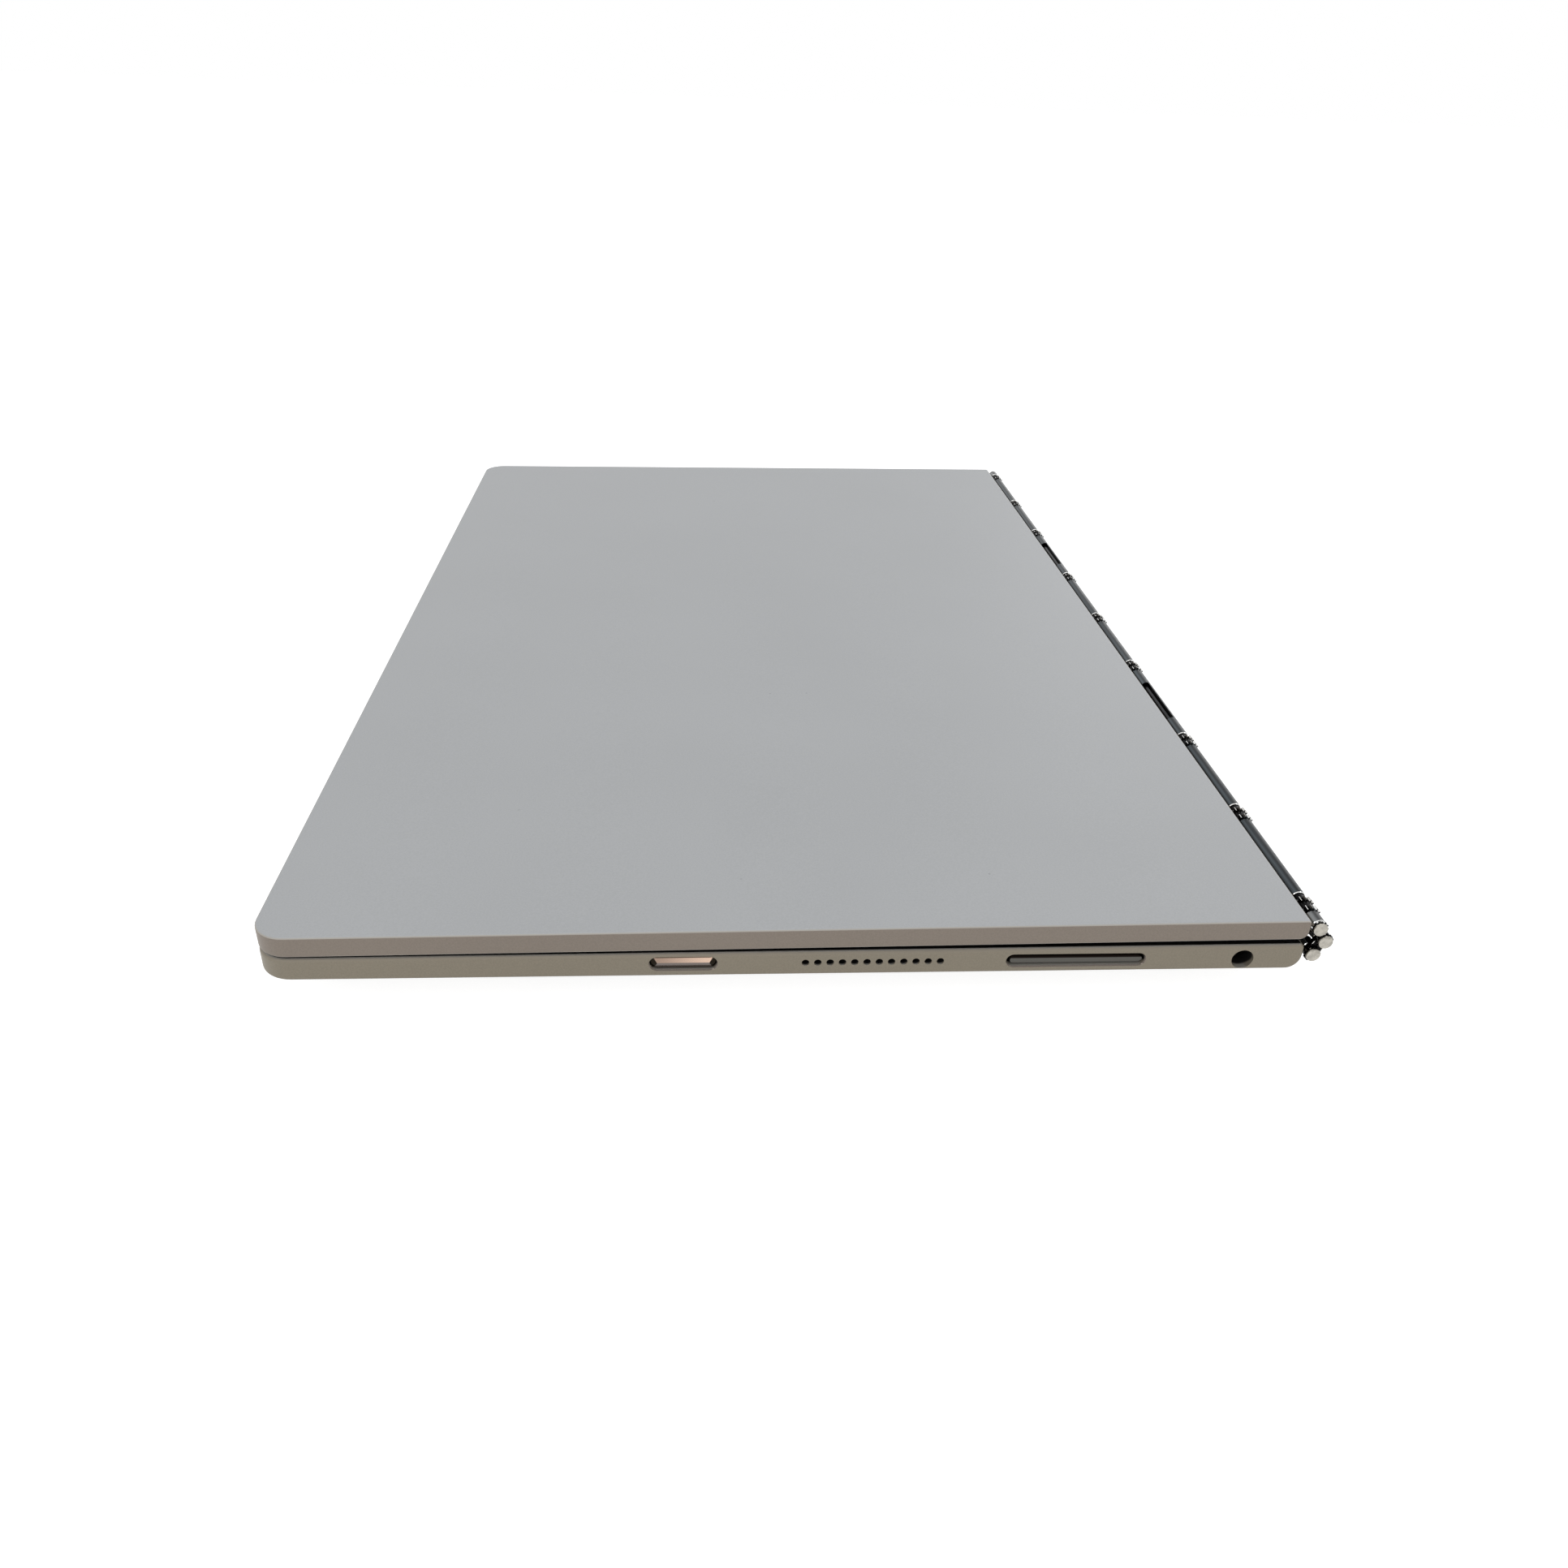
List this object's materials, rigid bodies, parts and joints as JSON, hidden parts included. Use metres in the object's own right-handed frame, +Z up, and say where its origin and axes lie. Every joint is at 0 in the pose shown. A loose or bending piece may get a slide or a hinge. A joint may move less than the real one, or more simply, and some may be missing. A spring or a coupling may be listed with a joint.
{
  "type": "laptop computer",
  "caption": "Very thin closed convertible laptop with a flat touch-glass keyboard deck, a wedge base and a geared chain-like hinge that lets the lid fold right round.",
  "frame": {"origin": "middle of the closed laptop's footprint, on the table", "axes": "+X along the hinge towards the side with the power button, +Y from the front edge towards the hinge, +Z up"},
  "size_m": [0.2566, 0.1712, 0.0096],
  "materials": {
    "lid_paint": "fine-grained satin paint, cool light grey",
    "base_paint": "fine-grained satin paint, warm grey",
    "dark_glass": "opaque dark glass, satin on the deck and gloss on the screen",
    "clear_window": "clear",
    "hinge_steel": "dark satin",
    "hinge_black": "black plates with bright wheel tips",
    "cap_silver": "warm satin silver",
    "key_silver": "polished",
    "rod_steel": "ground",
    "screw_steel": "plated",
    "board_green": "solder mask",
    "chip_black": "moulded",
    "shield_tin": "tinned",
    "spreader_graphite": "graphite foil",
    "cell_foil": "laminated pouch",
    "sheet_white": "thin sheet",
    "plate_magnesium": "cast, bead-blasted",
    "speaker_black": "moulded",
    "mesh_dark": "woven",
    "socket_metal": "formed sheet",
    "socket_plastic": "moulded",
    "motor_metal": "plain",
    "magnet_nickel": "plated",
    "cable_amber": "polyimide",
    "bumper_rubber": "matt",
    "panel_dark": "display cell"
  },
  "bodies": {
    "base": {"base_shell": "base_paint", "keyboard_glass": "dark_glass", "digitizer": "sheet_white", "key_light_guide": "sheet_white", "deck_plate": "plate_magnesium", "battery_left": "cell_foil", "battery_right": "cell_foil", "battery_board": "board_green", "main_board": "board_green", "board_screws": "screw_steel", "processor": "chip_black", "memory_chips": "chip_black", "processor_shield": "shield_tin", "radio_shield": "shield_tin", "heat_spreader": "spreader_graphite", "speaker_left": "speaker_black", "speaker_right": "speaker_black", "speaker_meshes": "mesh_dark", "haptic_motors": "motor_metal", "rear_camera": "chip_black", "rear_camera_window": "clear_window", "antennas": "cable_amber", "base_magnets": "magnet_nickel", "base_display_cables": "cable_amber", "headphone_jack": "socket_plastic", "usb_socket": "socket_metal", "hdmi_socket": "socket_metal", "port_board": "board_green", "card_reader": "socket_metal", "power_switch": "chip_black", "volume_switches": "chip_black", "rocker_pin": "rod_steel", "base_barrels": "hinge_steel", "base_hinge_rod": "rod_steel", "base_end_caps": "cap_silver", "base_hinge_screws": "screw_steel"},
    "power_button": {"power_button": "key_silver"},
    "volume_rocker": {"volume_rocker": "key_silver"},
    "card_tray": {"card_tray": "base_paint"},
    "link_1": {"middle_barrels": "hinge_steel", "base_links": "hinge_black", "end_links": "hinge_black", "middle_hinge_rod": "rod_steel", "middle_end_caps": "cap_silver"},
    "link_2": {"lid_links": "hinge_black"},
    "lid": {"lid_cover": "lid_paint", "screen_glass": "dark_glass", "display_panel": "panel_dark", "display_backlight": "sheet_white", "display_board": "board_green", "lid_display_cables": "cable_amber", "front_camera": "chip_black", "lid_magnets": "magnet_nickel", "lid_bumpers": "bumper_rubber", "lid_barrels": "hinge_steel", "lid_cable_barrels": "hinge_steel", "lid_hinge_rod": "rod_steel", "lid_end_caps": "cap_silver", "lid_hinge_screws": "screw_steel"}
  },
  "joints": [
    {"name": "hinge_base", "type": "hinge", "parent": "base", "child": "link_1", "pos_m": [0, 0.0825, 0.0027], "axis": [-1, 0, 0], "range_deg": [0, 120]},
    {"name": "hinge_middle", "type": "hinge", "parent": "link_1", "child": "link_2", "pos_m": [0, 0.08395, 0.00521], "axis": [-1, 0, 0], "range_deg": [0, 120]},
    {"name": "hinge_lid", "type": "hinge", "parent": "link_2", "child": "lid", "pos_m": [0, 0.0825, 0.00772], "axis": [-1, 0, 0], "range_deg": [0, 120]},
    {"name": "power_press", "type": "slide", "parent": "base", "child": "power_button", "axis": [-1, 0, 0], "range_m": [0, 0.0004], "stiffness_N_per_m": 300},
    {"name": "volume_rock", "type": "hinge", "parent": "base", "child": "volume_rocker", "pos_m": [0.12585, 0.0432, 0.00235], "axis": [0, 0, 1], "range_deg": [-2, 2], "stiffness_Nm_per_rad": 0.4},
    {"name": "card_slide", "type": "slide", "parent": "base", "child": "card_tray", "axis": [-1, 0, 0], "range_m": [0, 0.022]}
  ],
  "couplings": [
    {"joint": "hinge_base", "follows": "hinge_middle", "ratio": 1},
    {"joint": "hinge_lid", "follows": "hinge_middle", "ratio": 1}
  ]
}
